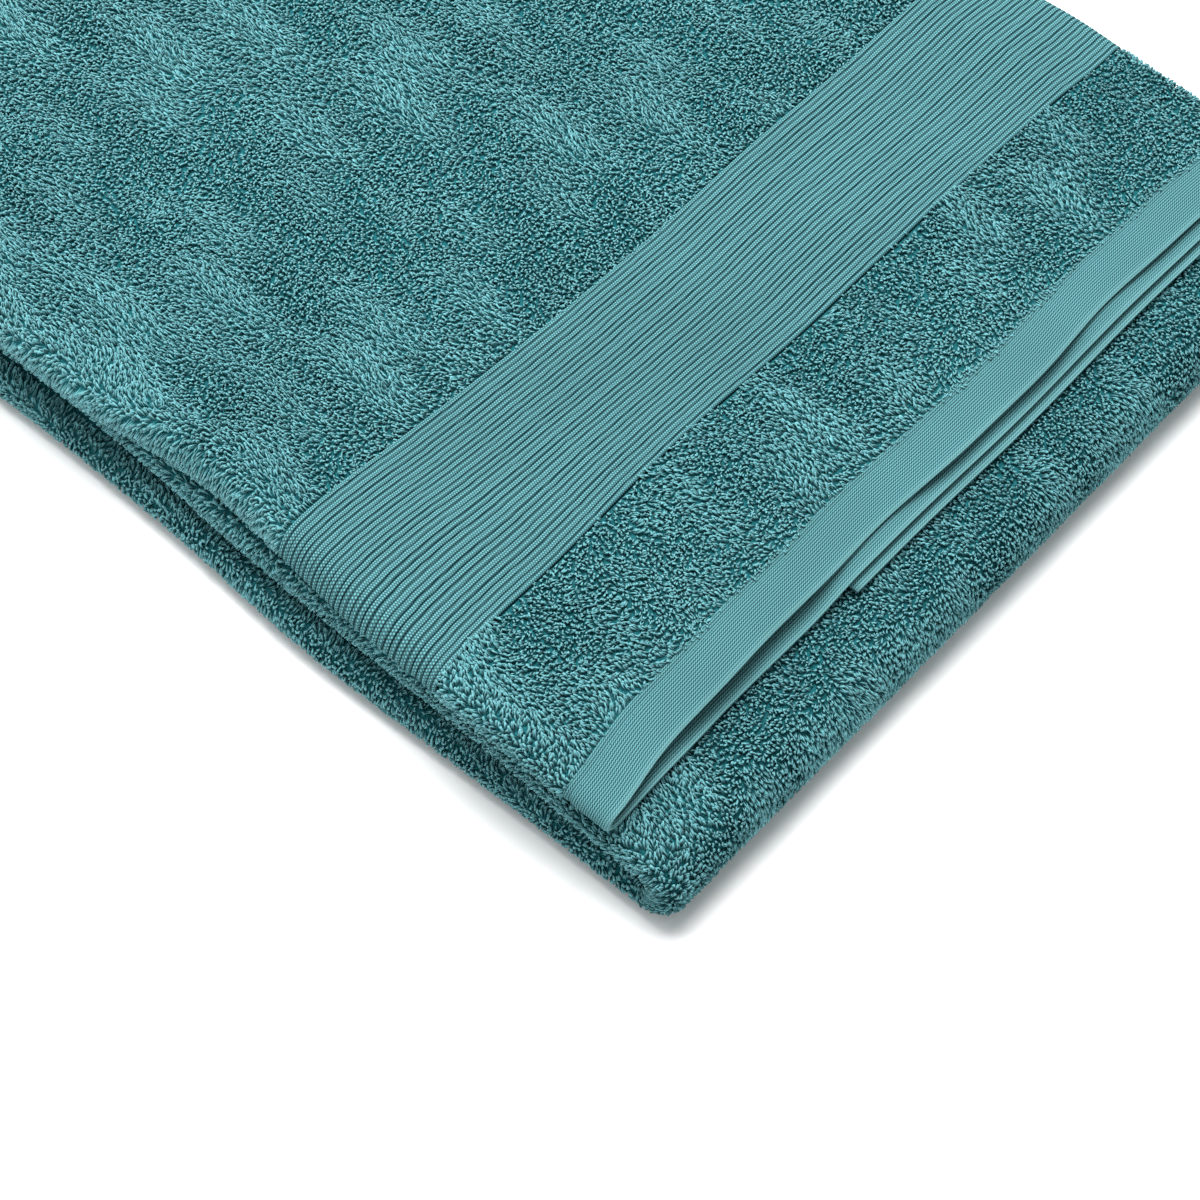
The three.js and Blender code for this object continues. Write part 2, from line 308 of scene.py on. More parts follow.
def cloth_point(u, v, h):
    """Where a point of the towel lies once it is folded, in the frame.

    u runs across the cloth from the near flap's free edge, v runs along it from the free end on
    top, and h is the height over the cloth's middle, towards its outer face.
    """
    y = np.interp(u, section_u, section_y)
    depth = np.interp(u, section_u, section_depth)
    slope_y = np.interp(u, section_u, along_y)
    slope_depth = np.interp(u, section_u, along_depth)
    y = y + h * slope_depth
    depth = depth - h * slope_y
    end = np.minimum(v, towel_length - v)
    lift = (strip_thickness - depth) * np.interp(end, thinning_place, thinning_share)
    back_turn = np.clip((v - back_start) / (back_end - back_start), 0, 1) * math.pi
    front_turn = np.clip((v - front_start) / (front_end - front_start), 0, 1) * math.pi
    on_top, in_back = v <= back_start, (v > back_start) & (v < back_end)
    on_bottom, in_front = (v >= back_end) & (v <= front_start), (v > front_start) & (v < front_end)
    back_arc, front_arc = back_radius - depth, front_radius - depth
    x = np.select(
        [on_top, in_back, on_bottom, in_front],
        [top_free_x - v, back_fold_x - back_arc * np.sin(back_turn), back_fold_x + v - back_end,
         front_fold_x + front_arc * np.sin(front_turn)],
        front_fold_x - (v - front_end))
    z = np.select(
        [on_top, in_back, on_bottom, in_front],
        [top_base + lift * top_fullness(y, v), back_radius + back_arc * np.cos(back_turn), depth,
         front_radius - front_arc * np.cos(front_turn)],
        middle_base + lift)
    y = y + wander(x, y, back_turn, front_turn)
    outward, lifted = end_slack(u, v, y)
    x = x + outward
    z = z + lifted
    # The whole stack rises and falls a little, more at the top than where it lies.
    z = z * (1 + wave(x, y, lie_waves))
    return np.stack([x, y, z], -1)


def make_mesh(name, points, faces):
    """A mesh from arrays of points and of faces, each array of faces with its own number of corners."""
    mesh = bpy.data.meshes.new(name)
    mesh.vertices.add(len(points))
    mesh.vertices.foreach_set("co", np.ascontiguousarray(points, np.float32).ravel())
    corners = np.concatenate([part.ravel() for part in faces]).astype(np.int32)
    sides = np.concatenate([np.full(len(part), part.shape[1], np.int32) for part in faces])
    starts = np.concatenate([[0], np.cumsum(sides)[:-1]]).astype(np.int32)
    mesh.loops.add(len(corners))
    mesh.loops.foreach_set("vertex_index", corners)
    mesh.polygons.add(len(sides))
    mesh.polygons.foreach_set("loop_start", starts)
    mesh.update(calc_edges=True)
    mesh.shade_smooth()
    piece = bpy.data.objects.new(name, mesh)
    bpy.context.scene.collection.objects.link(piece)
    return piece


def add_map(piece, name, per_corner):
    layer = piece.data.uv_layers.new(name=name)
    layer.uv.foreach_set("vector", np.ascontiguousarray(per_corner, np.float32).ravel())


def add_values(piece, name, values):
    layer = piece.data.attributes.new(name, "FLOAT", "POINT")
    layer.data.foreach_set("value", np.ascontiguousarray(values, np.float32).ravel())


def dress(piece, material):
    piece.data.materials.append(material)


def cloth_grid(name, us, vs, heights=0.0):
    """A stretch of the cloth as one curved sheet, with a map in the cloth's own metres."""
    u, v = np.meshgrid(us, vs, indexing="ij")
    points = cloth_point(u.ravel(), v.ravel(), np.broadcast_to(heights, u.shape).ravel())
    rows, columns = u.shape
    first = (np.arange(rows - 1)[:, None] * columns + np.arange(columns - 1)[None, :]).ravel()
    quads = np.stack([first, first + 1, first + columns + 1, first + columns], -1)
    piece = make_mesh(name, points, [quads])
    flat = np.stack([u.ravel(), v.ravel()], -1)[quads.ravel()]
    add_map(piece, "cloth", flat)
    low = np.array([us[0], vs[0]])
    span = np.array([us[-1] - us[0], vs[-1] - vs[0]])
    add_map(piece, "OFBake", 0.004 + 0.992 * (flat - low) / span)
    return piece


def steps_between(start, end, step):
    return np.linspace(start, end, max(2, int(round((end - start) / step)) + 1))


def across_steps(start, end, coarse, fine):
    """Places across the cloth, closer together round the two long folds."""
    round_fold = 16 * mm
    near = (near_fold_u - round_fold, near_fold_u + round_fold)
    far = (far_fold_u - round_fold, far_fold_u + round_fold)
    return np.concatenate([
        steps_between(start, near[0], coarse)[:-1], steps_between(*near, fine)[:-1],
        steps_between(near[1], far[0], coarse)[:-1], steps_between(*far, fine)[:-1],
        steps_between(far[1], end, coarse)])


# ---------------------------------------------------------------- the terry ground
# The ground of the terry is a plain cotton weave that holds the pile loops by their feet. It is
# woven in one with the bands and hems. It shows deep between the loops, and bare on the inner face
# of the cloth. Its colour is painted far darker than the yarn, as painted shade for the shade deep
# among the loops.


def new_group(name, inputs, outputs):
    group = bpy.data.node_groups.new(name, "ShaderNodeTree")
    for label, kind, value in inputs:
        socket = group.interface.new_socket(label, in_out="INPUT", socket_type=kind)
        socket.default_value = value
    for label, kind in outputs:
        group.interface.new_socket(label, in_out="OUTPUT", socket_type=kind)
    return group, group.nodes.new("NodeGroupInput"), group.nodes.new("NodeGroupOutput")


def feed(tree, socket, value):
    """Sets a socket to a number or a colour, or joins another node's output to it."""
    if isinstance(value, (int, float)):
        socket.default_value = value
    elif isinstance(value, tuple):
        socket.default_value = (*value, 1)
    else:
        tree.links.new(value, socket)


def math_node(tree, operation, *values, clamp=False):
    node = tree.nodes.new("ShaderNodeMath")
    node.operation = operation
    node.use_clamp = clamp
    for socket, value in zip(node.inputs, values):
        feed(tree, socket, value)
    return node.outputs[0]


def mix_colours(tree, share, first, second):
    node = tree.nodes.new("ShaderNodeMix")
    node.data_type = "RGBA"
    feed(tree, node.inputs[0], share)
    feed(tree, node.inputs[6], first)
    feed(tree, node.inputs[7], second)
    return node.outputs[2]


def plain_weave_group():
    """Threads over and under each other. Gives a mask of the raised threads, from a map in metres."""
    group, given, made = new_group(
        "plain_weave",
        [("Map", "NodeSocketVector", (0, 0, 0)), ("Threads Across", "NodeSocketFloat", 1000.0),
         ("Threads Along", "NodeSocketFloat", 1000.0)],
        [("Raised", "NodeSocketFloat")])
    parts = group.nodes.new("ShaderNodeSeparateXYZ")
    group.links.new(given.outputs["Map"], parts.inputs[0])
    across = math_node(group, "MULTIPLY", parts.outputs[0], given.outputs["Threads Across"])
    along = math_node(group, "MULTIPLY", parts.outputs[1], given.outputs["Threads Along"])
    row = math_node(group, "FLOOR", along)
    stepped = math_node(group, "MULTIPLY_ADD", row, 0.5, across)
    dash = math_node(group, "SINE", math_node(group, "MULTIPLY", stepped, 2 * math.pi))
    dash = math_node(group, "MULTIPLY_ADD", dash, 0.5, 0.5)
    inside = math_node(group, "FRACT", along)
    inside = math_node(group, "SINE", math_node(group, "MULTIPLY", inside, math.pi))
    raised = math_node(group, "MULTIPLY", dash, inside, clamp=True)
    group.links.new(raised, made.inputs["Raised"])
    return group


def patches_group():
    """Cloudy lighter and darker patches of colour. On the pile they are painted light and shade, for
    loops stroked different ways that catch the light differently; on the flat weaves they are uneven tone.
    """
    group, given, made = new_group(
        "patches_of_tone_and_shade",
        [("Place", "NodeSocketVector", (0, 0, 0)), ("Size", "NodeSocketFloat", 30.0),
         ("Low", "NodeSocketFloat", 0.8), ("High", "NodeSocketFloat", 1.1)],
        [("Shade", "NodeSocketFloat")])
    noise = group.nodes.new("ShaderNodeTexNoise")
    noise.inputs["Detail"].default_value = 3.0
    group.links.new(given.outputs["Place"], noise.inputs["Vector"])
    group.links.new(given.outputs["Size"], noise.inputs["Scale"])
    spread = group.nodes.new("ShaderNodeMapRange")
    spread.inputs["From Min"].default_value = 0.35
    spread.inputs["From Max"].default_value = 0.65
    group.links.new(noise.outputs[0], spread.inputs["Value"])
    group.links.new(given.outputs["Low"], spread.inputs["To Min"])
    group.links.new(given.outputs["High"], spread.inputs["To Max"])
    group.links.new(spread.outputs[0], made.inputs["Shade"])
    return group


plain_weave = plain_weave_group()
patches_of_tone_and_shade = patches_group()


def place_group(tree, group, **values):
    node = tree.nodes.new("ShaderNodeGroup")
    node.node_tree = group
    for label, value in values.items():
        feed(tree, node.inputs[label.replace("_", " ")], value)
    return node.outputs[0]


def map_node(tree, name):
    node = tree.nodes.new("ShaderNodeUVMap")
    node.uv_map = name
    return node.outputs[0]


def attribute_node(tree, name):
    node = tree.nodes.new("ShaderNodeAttribute")
    node.attribute_name = name
    return node.outputs["Fac"]


def scaled_colour(tree, colour, shade):
    node = tree.nodes.new("ShaderNodeVectorMath")
    node.operation = "SCALE"
    feed(tree, node.inputs[0], colour)
    feed(tree, node.inputs["Scale"], shade)
    return node.outputs[0]


def new_cotton(name, roughness, specular):
    """A material of dyed cotton, with its colour and relief still to be joined on."""
    material = bpy.data.materials.new(name)
    material.use_nodes = True
    shader = material.node_tree.nodes["Principled BSDF"]
    shader.inputs["Roughness"].default_value = roughness
    shader.inputs["Specular IOR Level"].default_value = specular
    return material, material.node_tree, shader


def add_relief(tree, shader, height, depth, strength=1.0):
    """Fine relief of threads and fibres: height says where they stand, and depth how far."""
    bump = tree.nodes.new("ShaderNodeBump")
    bump.inputs["Distance"].default_value = depth
    bump.inputs["Strength"].default_value = strength
    tree.links.new(height, bump.inputs["Height"])
    tree.links.new(bump.outputs[0], shader.inputs["Normal"])


def ground_material():
    material, tree, shader = new_cotton("terry_ground", roughness=0.95, specular=0.02)
    cloth = map_node(tree, "cloth")
    raised = place_group(tree, plain_weave, Map=cloth, Threads_Across=1100.0, Threads_Along=1300.0)
    shade = place_group(tree, patches_of_tone_and_shade, Place=cloth, Size=25.0, Low=0.8, High=1.1)
    # Painted shade: the ground's colours are far darker than the yarn's, standing in for the shade down
    # between the loops.
    colour = mix_colours(tree, raised, (0.01, 0.11, 0.127), (0.026, 0.16, 0.18))
    tree.links.new(scaled_colour(tree, colour, shade), shader.inputs["Base Color"])
    add_relief(tree, shader, raised, 0.2 * mm)
    return material


terry_ground = ground_material()
first_u = side_hem_width
last_u = towel_width - side_hem_width
flat_step, turn_step = 3 * mm, 1.5 * mm
lower, upper = "lower_sections", "top_section"
terry_lengths = {
    "top_strip": (hem_length, strip_end, ["top_terry_strip"]),
    "top_field": (band_end, back_start, ["top_terry_field"]),
    "back_fold": (back_start, back_end, ["back_fold_terry"]),
    "bottom": (back_end, front_end, ["bottom_terry", "front_fold_terry"]),
    "middle_field": (front_end, towel_length - band_end, ["middle_terry_field"]),
    "middle_strip": (towel_length - strip_end, towel_length - hem_length, ["middle_terry_strip"]),
}


def fix_to_body(piece, stretch):
    """Fixes a piece to the body that its stretch of cloth belongs to."""
    if stretch == "back_fold":
        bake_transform(piece)
    elif stretch.startswith("top"):
        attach(piece, upper)
    else:
        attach(piece, lower)


grounds = {}
for stretch, (start, end, nodes) in terry_lengths.items():
    run = steps_between(start, end, turn_step if stretch == "back_fold" else flat_step)
    if stretch == "bottom":
        run = np.concatenate([steps_between(start, front_start, flat_step)[:-1],
                              steps_between(front_start, end, turn_step)])
    ground = cloth_grid(stretch + "_ground", across_steps(first_u, last_u, flat_step, 1 * mm), run)
    dress(ground, terry_ground)
    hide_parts(*nodes)
    fix_to_body(ground, stretch)
    grounds[stretch] = ground

# ---------------------------------------------------------------- the pile
# The pile is soft two-fold cotton yarn, thrown up in loops that stand about 2 mm high over the
# ground and lean every way it was last stroked. Each loop is caught by both feet in the weave.


def pile_material():
    material, tree, shader = new_cotton("pile_yarn", roughness=0.75, specular=0.13)
    shader.inputs["Sheen Weight"].default_value = 0.05
    shader.inputs["Sheen Roughness"].default_value = 0.5
    place = tree.nodes.new("ShaderNodeTexCoord").outputs["Object"]
    fuzz = tree.nodes.new("ShaderNodeTexNoise")
    fuzz.inputs["Scale"].default_value = 2600.0
    fuzz.inputs["Detail"].default_value = 2.0
    tree.links.new(place, fuzz.inputs["Vector"])
    # Painted light and shade: broad lighter and darker patches, for pile stroked different ways.
    patch = place_group(tree, patches_of_tone_and_shade, Place=place, Size=17.0, Low=0.95, High=1.04)
    # Painted shade: the yarn is coloured darker down towards the loops' feet, deep in the pile, and lighter
    # at their tops.
    lifted = math_node(tree, "POWER", attribute_node(tree, "reach"), 0.55)
    colour = mix_colours(tree, lifted, (0.034, 0.25, 0.279), (0.132, 0.352, 0.381))
    shade = math_node(tree, "MULTIPLY", attribute_node(tree, "shade"), patch)
    flecks = math_node(tree, "MULTIPLY_ADD", fuzz.outputs[0], 0.5, 0.75)
    shade = math_node(tree, "MULTIPLY", shade, flecks)
    tree.links.new(scaled_colour(tree, colour, shade), shader.inputs["Base Color"])
    add_relief(tree, shader, fuzz.outputs[0], 0.12 * mm, strength=0.6)
    return material


pile_yarn = pile_material()
yarn_radius = 0.305 * mm
yarn_sides = 3
loop_height = 2.0 * mm
usual_pitch = 1.3 * mm
jitter = 0.35
sunk = 0.15 * mm
main_heading = 3.2
chance = np.random.default_rng(7)
lean_waves = [(0.6, 0.091, 0.5, 0.2), (0.5, 0.053, 1.7, 1.4), (0.5, 0.031, 2.6, 3.1),
              (0.45, 0.019, 0.1, 5.0)]
stroke_waves = [(0.10, 0.158, 1.2, 1.0), (0.09, 0.067, 2.2, 4.4), (0.10, 0.031, 0.3, 2.6)]


def unit(vectors):
    return vectors / np.linalg.norm(vectors, axis=-1, keepdims=True)


def pile(name, stretch, u_range, v_range, pitch, length_points, tallest):
    """Loops over a stretch of the outer face. Each is a yarn bent over from foot to foot."""
    columns = max(1, int(round((u_range[1] - u_range[0]) / pitch)))
    rows = max(1, int(round((v_range[1] - v_range[0]) / pitch)))
    u, v = np.meshgrid((np.arange(columns) + 0.5) / columns, (np.arange(rows) + 0.5) / rows, indexing="ij")
    u = u_range[0] + (u_range[1] - u_range[0]) * u.ravel()
    v = v_range[0] + (v_range[1] - v_range[0]) * v.ravel()
    count = len(u)
    u = u + chance.uniform(-jitter, jitter, count) * pitch
    v = v + chance.uniform(-jitter, jitter, count) * pitch
    # The loops lean the way they were stroked: towards the near fold, and along it close to it.
    heading = main_heading + wave(u, v, lean_waves) + chance.normal(0, 0.45, count)
    heading = heading - 1.5 * hump(u, near_fold_u + 7 * mm, 12 * mm)
    # Where the pile was stroked flatter, its loops lean over further and stand lower.
    stroked = np.clip(0.6 + wave(u, v, stroke_waves), 0, 1)
    lean = (0.85 + 0.95 * stroked) * chance.uniform(0.7, 1.3, count) * mm
    height = tallest * (1 - 0.28 * stroked) * chance.uniform(0.8, 1.1, count)
    foot = chance.uniform(0.28, 0.5, count) * mm * (pitch / usual_pitch) ** 0.5
    facing = heading + chance.normal(0, 0.9, count)
    # Each loop's path, from foot to foot.
    bend = np.linspace(0, math.pi, length_points)[None, :]
    out = -np.cos(bend) * foot[:, None]
    up = np.sin(bend) ** 0.8
    over = lean[:, None] * up ** 1.5
    path = np.stack([u[:, None] + np.cos(facing)[:, None] * out + np.cos(heading)[:, None] * over,
                     v[:, None] + np.sin(facing)[:, None] * out + np.sin(heading)[:, None] * over,
                     height[:, None] * up - sunk], -1)
    # The yarn round that path. Loops that stand wider apart are thicker, so less ground shows.
    tangent = unit(np.gradient(path, axis=1))
    base = np.stack([np.cos(facing), np.sin(facing), np.zeros(count)], -1)
    rise = np.stack([np.cos(heading) * lean, np.sin(heading) * lean, height], -1)
    side = np.broadcast_to(unit(np.cross(base, rise))[:, None, :], tangent.shape)
    front = unit(np.cross(tangent, side))
    thick = yarn_radius * (pitch / usual_pitch) ** 0.6 * chance.uniform(0.88, 1.12, count)
    ring = np.arange(yarn_sides) * 2 * math.pi / yarn_sides
    reach_out = thick[:, None, None, None] * (0.8 + 0.2 * up)[..., None, None]
    points = path[:, :, None, :] + reach_out * (
        np.cos(ring)[:, None] * side[:, :, None, :] + np.sin(ring)[:, None] * front[:, :, None, :])
    points = points.reshape(-1, 3)
    placed = cloth_point(points[:, 0], points[:, 1], points[:, 2])
    per_loop = length_points * yarn_sides
    first = (np.arange(count) * per_loop)[:, None, None]
    along = (np.arange(length_points - 1) * yarn_sides)[None, :, None]
    around = np.arange(yarn_sides)[None, None, :]
    after = (around + 1) % yarn_sides
    quads = np.stack([first + along + around, first + along + after,
                      first + along + yarn_sides + after, first + along + yarn_sides + around], -1)
    quads = quads.reshape(-1, 4)
    foot_caps = first[:, :, 0] + np.array([[2, 1, 0]])
    far_caps = first[:, :, 0] + per_loop - yarn_sides + np.array([[0, 1, 2]])
    piece = make_mesh(name, placed, [quads, np.concatenate([foot_caps, far_caps])])
    # Each loop has a cell of its own in the map.
    cells = int(math.ceil(math.sqrt(count)))
    cell = np.stack([np.arange(count) % cells, np.arange(count) // cells], -1)[:, None, None, None, :]
    across = np.stack([around, around + 1, around + 1, around], -1) / yarn_sides + 0 * along[..., None]
    upward = np.stack([0 * around, 0 * around, 0 * around + 1, 0 * around + 1], -1)
    upward = upward + along[..., None] / yarn_sides
    inside = np.stack([across, upward / (length_points - 1)], -1)
    quad_map = (cell + 0.04 + 0.92 * inside) / cells
    cap_inside = np.array([[0.05, 0.02], [0.5, 0.02], [0.5, 0.04]])
    cap_map = (cell[:, 0, 0, 0, :][:, None, :] + cap_inside[None]) / cells
    add_map(piece, "OFBake", np.concatenate([quad_map.reshape(-1, 2), cap_map.reshape(-1, 2),
                                             cap_map.reshape(-1, 2) + [0, 0.95 / cells]]))
    # reach runs from 0 at a loop's feet to 1 at its top; the material paints the shade low down by it.
    add_values(piece, "reach", np.repeat((np.ones(count)[:, None] * up / up.max()).ravel(), yarn_sides))
    # Each loop's tone differs at random, and loops stroked flatter are painted lighter: painted light, as
    # laid-over loops catch more of it.
    shade = chance.normal(1.0, 0.10, count) * (0.93 + 0.12 * stroked)
    add_values(piece, "shade", np.repeat(shade, per_loop))
    dress(piece, pile_yarn)
    fix_to_body(piece, stretch)
    return piece


most_triangles = 195000
piles = {}


def pile_over(stretch, label, u_range, v_range, pitch, length_points=5, tallest=loop_height):
    """Covers a stretch of the outer face with pile, in pieces that stay light enough to handle."""
    loops_along = (v_range[1] - v_range[0]) / pitch
    loops_across = (u_range[1] - u_range[0]) / pitch
    triangles_each = 2 * yarn_sides * (length_points - 1) + 2
    tiles = int(math.ceil(loops_along * loops_across * triangles_each / most_triangles))
    edges = np.linspace(u_range[0], u_range[1], tiles + 1)
    for number in range(tiles):
        made = pile(f"{stretch}_{label}_pile_{number + 1:02d}", stretch, (edges[number], edges[number + 1]),
                    v_range, pitch, length_points, tallest)
        piles.setdefault(stretch, []).append(made)


roll_girth = math.pi * (far_flap_depth - half_terry) / 2
outer_face = (near_fold_u - roll_girth * 0.62, far_fold_u + roll_girth * 0.62)
far_flap_face = (outer_face[1], last_u)
fine, easing, medium, coarse, hidden = 0.97 * mm, 1.25 * mm, 1.6 * mm, 2.1 * mm, 4.0 * mm
fold_pitch = 1.1 * mm
fine_end = top_free_x + 85 * mm
easing_end = fine_end + 45 * mm

# The pile is closest where it is seen best: at the free end, the front and the near folds.
pile_over("top_strip", "outer", outer_face, terry_lengths["top_strip"][:2], fine)
pile_over("top_field", "outer", outer_face, (band_end, fine_end), fine, 4)
pile_over("top_field", "mid", outer_face, (fine_end, easing_end), easing, 4)
pile_over("top_field", "back", outer_face, (easing_end, back_start), medium, 4)
pile_over("front_fold", "outer", outer_face, (front_start, front_end), fine)
pile_over("back_fold", "outer", outer_face, terry_lengths["back_fold"][:2], medium, 4)
middle_field_start, middle_field_end = terry_lengths["middle_field"][:2]
middle_shown = middle_field_start + 31 * mm
middle_covered = (middle_shown, middle_field_end)
past_fold = near_fold_u + 4 * mm
pile_over("middle_field", "front", outer_face, (middle_field_start, middle_shown), fine)
pile_over("middle_field", "back", (past_fold, outer_face[1]), middle_covered, medium, 4)
pile_over("middle_field", "near_fold", (outer_face[0], past_fold), middle_covered, fold_pitch, 4)
pile_over("middle_strip", "outer", outer_face, terry_lengths["middle_strip"][:2], medium, 4)
bottom_span = (back_end, front_start)
under_side = (near_fold_u + 7 * mm, far_fold_u - 7 * mm)
pressed_height = 1.2 * mm
pile_over("bottom", "near_fold", (outer_face[0], under_side[0]), bottom_span, 1.05 * mm, 4)
pile_over("bottom", "far_fold", (under_side[1], outer_face[1]), bottom_span, medium, 4)
pile_over("bottom", "under", under_side, bottom_span, hidden, 4, pressed_height)
under_far_flap = u_at(far_edge_y + 4 * mm, "near_flap")
for stretch in ("top_strip", "top_field"):
    pile_over(stretch, "under_flap", (first_u, under_far_flap), terry_lengths[stretch][:2], hidden, 4)
    pile_over(stretch, "near_flap", (under_far_flap, outer_face[0]), terry_lengths[stretch][:2], coarse, 4)
    pile_over(stretch, "far_flap", far_flap_face, terry_lengths[stretch][:2], coarse, 4)
# Past the middle section's end, the inside of the back fold shows once the top is opened.
for stretch, span in (("back_fold", (back_start, back_end)), ("bottom", (back_end, back_end + 28 * mm))):
    pile_over(stretch, "near_flap", (under_far_flap, outer_face[0]), span, coarse, 4)
    pile_over(stretch, "far_flap", far_flap_face, span, coarse, 4)

# ---------------------------------------------------------------- the ribbed bands
# Near each end the loops stop for 50 mm, and the cloth is woven in 32 raised ribs that run across
# the towel, each a soft roll of cotton with a narrow groove beside it. Woven in one with the ground.

ribs = 32
rib_height = 0.68 * mm
band_lift = 0.9 * mm
rib_points = 7
rib_wavers = [(0.08 * mm, 0.043, 0, 0.5), (0.06 * mm, 0.019, 0, 2.0), (0.06 * mm, 0.0071, 0, 1.0)]
band_step, band_fold_step = 2.8 * mm, 0.9 * mm


def rib_profile(u, v, start, end):
    """How far up the ribs stand, from 0 to 1, and a mask of painted shade: the colour goes dark down in the
    grooves.
    """
    waver = wave(u, v * 0, rib_wavers)
    inside = np.clip((v - start) / (end - start), 0, 1)
    edge = ease(inside, 0, 0.03) * ease(1 - inside, 0, 0.03)
    turn = inside * ribs
    groove = np.round(turn)
    turn = turn + waver * edge / (end - start) * ribs * (1 + 0.35 * np.sin(groove * 2.1))
    stood = np.abs(np.sin(np.pi * turn)) ** 0.45
    tightness = 0.86 + 0.11 * np.cos(groove * 1.36) + 0.06 * np.sin(u * 31 + groove * 2.4)
    middle = hump(turn - np.floor(turn), 0.5, 0.13)
    rise = 1 - tightness * (1 - stood) - 0.16 * middle
    light = 1 - np.clip(tightness + 0.1, 0, 1) * (1 - ease(stood, 0.56, 0.92)) - 0.24 * middle
    return rise, np.clip(light, 0, 1)


def band_material():
    material, tree, shader = new_cotton("ribbed_weave", roughness=0.82, specular=0.03)
    cloth = map_node(tree, "cloth")
    raised = place_group(tree, plain_weave, Map=cloth, Threads_Across=1500.0, Threads_Along=1560.0)
    shade = place_group(tree, patches_of_tone_and_shade, Place=cloth, Size=20.0, Low=0.94, High=1.05)
    # Painted shade: the colour goes nearly black down in the grooves between the ribs.
    groove_shade_mix = attribute_node(tree, "groove_shade_mix")
    colour = mix_colours(tree, groove_shade_mix, (0.002, 0.022, 0.028), (0.108, 0.295, 0.320))
    # Painted shade between the threads: sunk threads are coloured darker, raised ones lighter.
    yarn = math_node(tree, "MULTIPLY_ADD", raised, 1.5, 0.34)
    shade = math_node(tree, "MULTIPLY", yarn, shade)
    tree.links.new(scaled_colour(tree, colour, shade), shader.inputs["Base Color"])
    add_relief(tree, shader, raised, 0.15 * mm)
    return material


ribbed_weave = band_material()
for section, start, end in (("top", strip_end, band_end),
                            ("middle", towel_length - band_end, towel_length - strip_end)):
    places = steps_between(start, end, (end - start) / (ribs * rib_points))
    across = across_steps(first_u, last_u, band_step, band_fold_step)
    rise, light = rib_profile(*np.meshgrid(across, places, indexing="ij"), start, end)
    band = cloth_grid(section + "_band", across, places, band_lift + rib_height * (rise - 0.5))
    add_values(band, "groove_shade_mix", light)
    dress(band, ribbed_weave)
    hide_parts(section + "_ribbed_band")
    fix_to_body(band, section)

# ---------------------------------------------------------------- the hems
# The ends and the long edges are flat cotton weave without loops, turned in twice and sewn down.
# An end hem is 13 mm wide and takes in the ends of the 9 mm side hems.

hem_row = 0.69 * mm
row_height = 0.07 * mm


def hem_material():
    material, tree, shader = new_cotton("hem_weave", roughness=0.8, specular=0.05)
    cloth = map_node(tree, "cloth")
    parts = tree.nodes.new("ShaderNodeSeparateXYZ")
    tree.links.new(cloth, parts.inputs[0])
    # The woven rows are lines of short slanted threads.
    slant = math_node(tree, "FRACT", math_node(tree, "MULTIPLY", parts.outputs["X"], 1300.0))
    row = math_node(tree, "MULTIPLY", parts.outputs["Y"], 1 / hem_row)
    row = math_node(tree, "ADD", row, math_node(tree, "MULTIPLY", slant, 0.42))
    raised = math_node(tree, "SINE", math_node(tree, "MULTIPLY", row, math.pi))
    raised = math_node(tree, "ABSOLUTE", raised)
    # Painted shade: the colour goes nearly black between the rows, where the woven relief lies in shade.
    standing = math_node(tree, "POWER", raised, 1.5)
    colour = mix_colours(tree, standing, (0.001, 0.025, 0.031), (0.118, 0.31, 0.332))
    # Painted highlight: it is coloured lighter along the rounded folded edge, where the light catches it.
    edge_highlight = math_node(tree, "MULTIPLY", attribute_node(tree, "fold_edge_highlight"), 0.55)
    colour = mix_colours(tree, edge_highlight, colour, (0.19, 0.43, 0.45))
    shade = place_group(tree, patches_of_tone_and_shade, Place=cloth, Size=30.0, Low=0.95, High=1.04)
    tree.links.new(scaled_colour(tree, colour, shade), shader.inputs["Base Color"])
    add_relief(tree, shader, raised, 0.14 * mm)
    return material


hem_weave = hem_material()


def hem_outline(width, thickness, stitch_inset, rows_shown):
    """A hem's section: how far in from the edge, the height, and how far round, with woven rows."""
    half = thickness / 2
    face = steps_between(half, width, hem_row / 4 if rows_shown else 1.2 * mm)
    pinch = 0.42 * mm * hump(face, width - stitch_inset, 0.6 * mm)
    pinch = pinch + 0.45 * mm * ease(face, width - 1.2 * mm, width)
    swell = 0.12 * mm * hump(face, half * 1.2, 1.2 * mm)
    ridges = row_height * np.abs(np.sin(math.pi * face / hem_row)) if rows_shown else 0
    top = half + ridges + swell - pinch
    turn = np.linspace(math.pi / 2, -math.pi / 2, 9)[1:-1]
    edge_in = half - half * np.cos(turn)
    edge_up = half * np.sin(turn)
    inward = np.concatenate([face[::-1], edge_in, face])
    height = np.concatenate([top[::-1], edge_up, -top])
    girth = np.concatenate([[0], np.cumsum(np.hypot(np.diff(inward), np.diff(height)))])
    return inward, height, girth


